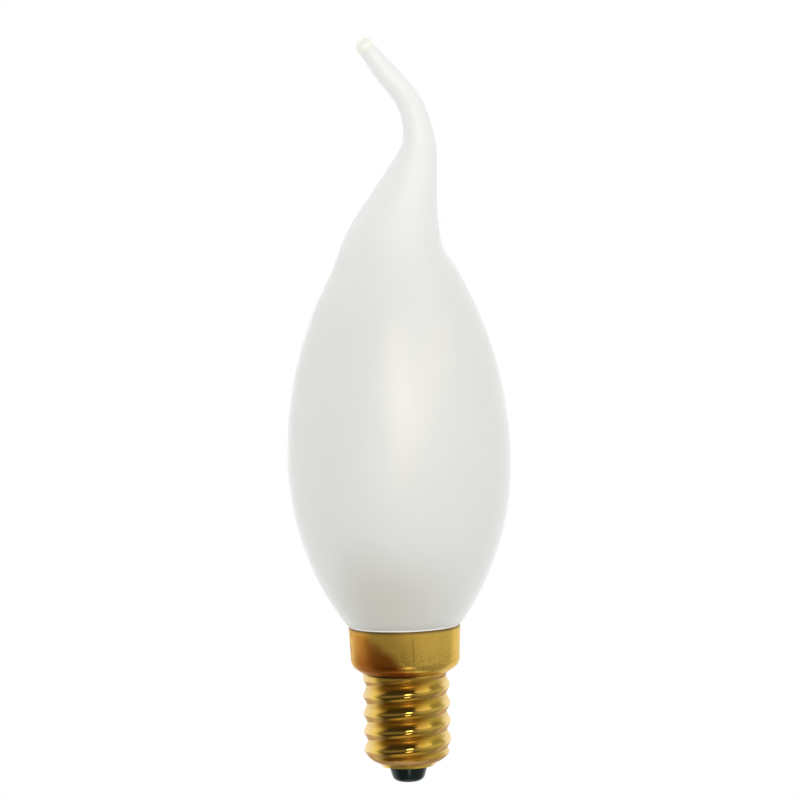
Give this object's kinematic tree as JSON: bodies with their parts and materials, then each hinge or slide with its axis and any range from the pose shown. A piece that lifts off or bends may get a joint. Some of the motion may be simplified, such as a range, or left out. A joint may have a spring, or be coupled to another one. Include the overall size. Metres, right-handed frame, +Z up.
{
  "type": "candle bulb",
  "caption": "Frosted candle bulb with a slim pear-shaped belly, a bent drawn-out glass tail ending in a ball, and a brass screw cap with a black insulator.",
  "frame": {"origin": "middle of the centre contact's face, at the very bottom of the cap", "axes": "+Z up the bulb's axis from the cap to the glass, -Y towards the camera of the picture, the tail bends in the XZ plane with its tip towards -X"},
  "size_m": [0.035, 0.035, 0.1157],
  "materials": {
    "frosted_glass": "smooth satin frost",
    "clear_glass": "clear, fire-polished",
    "brass": "rolled, polished thread and satin skirt with brown tarnish",
    "black_insulator": "glossy moulded black",
    "contact_metal": "dull tinned metal",
    "white_cement": "smooth white cement, slightly glossy bead",
    "wire_metal": "drawn bright wire",
    "carrier_strip": "plain sheet strip",
    "phosphor": "smooth warm yellow silicone",
    "board": "lacquered board",
    "capacitor_sleeve": "shrunk plastic sleeve",
    "resistor_paint": "dipped enamel",
    "chip_plastic": "moulded black"
  },
  "bodies": {
    "root": {"cap_shell": "brass", "insulator": "black_insulator", "centre_contact": "contact_metal", "glass_envelope": "frosted_glass", "capping_cement": "white_cement", "glass_stem": "clear_glass", "lead_wire_front": "wire_metal", "lead_wire_rear": "wire_metal", "top_support_wire": "wire_metal", "filament_front_strip": "carrier_strip", "filament_front_coat": "phosphor", "filament_side_strip": "carrier_strip", "filament_side_coat": "phosphor", "driver_board": "board", "smoothing_capacitor": "capacitor_sleeve", "fuse_resistor": "resistor_paint", "bridge_rectifier": "chip_plastic", "driver_chip": "chip_plastic", "shell_wire": "wire_metal"}
  },
  "joints": []
}
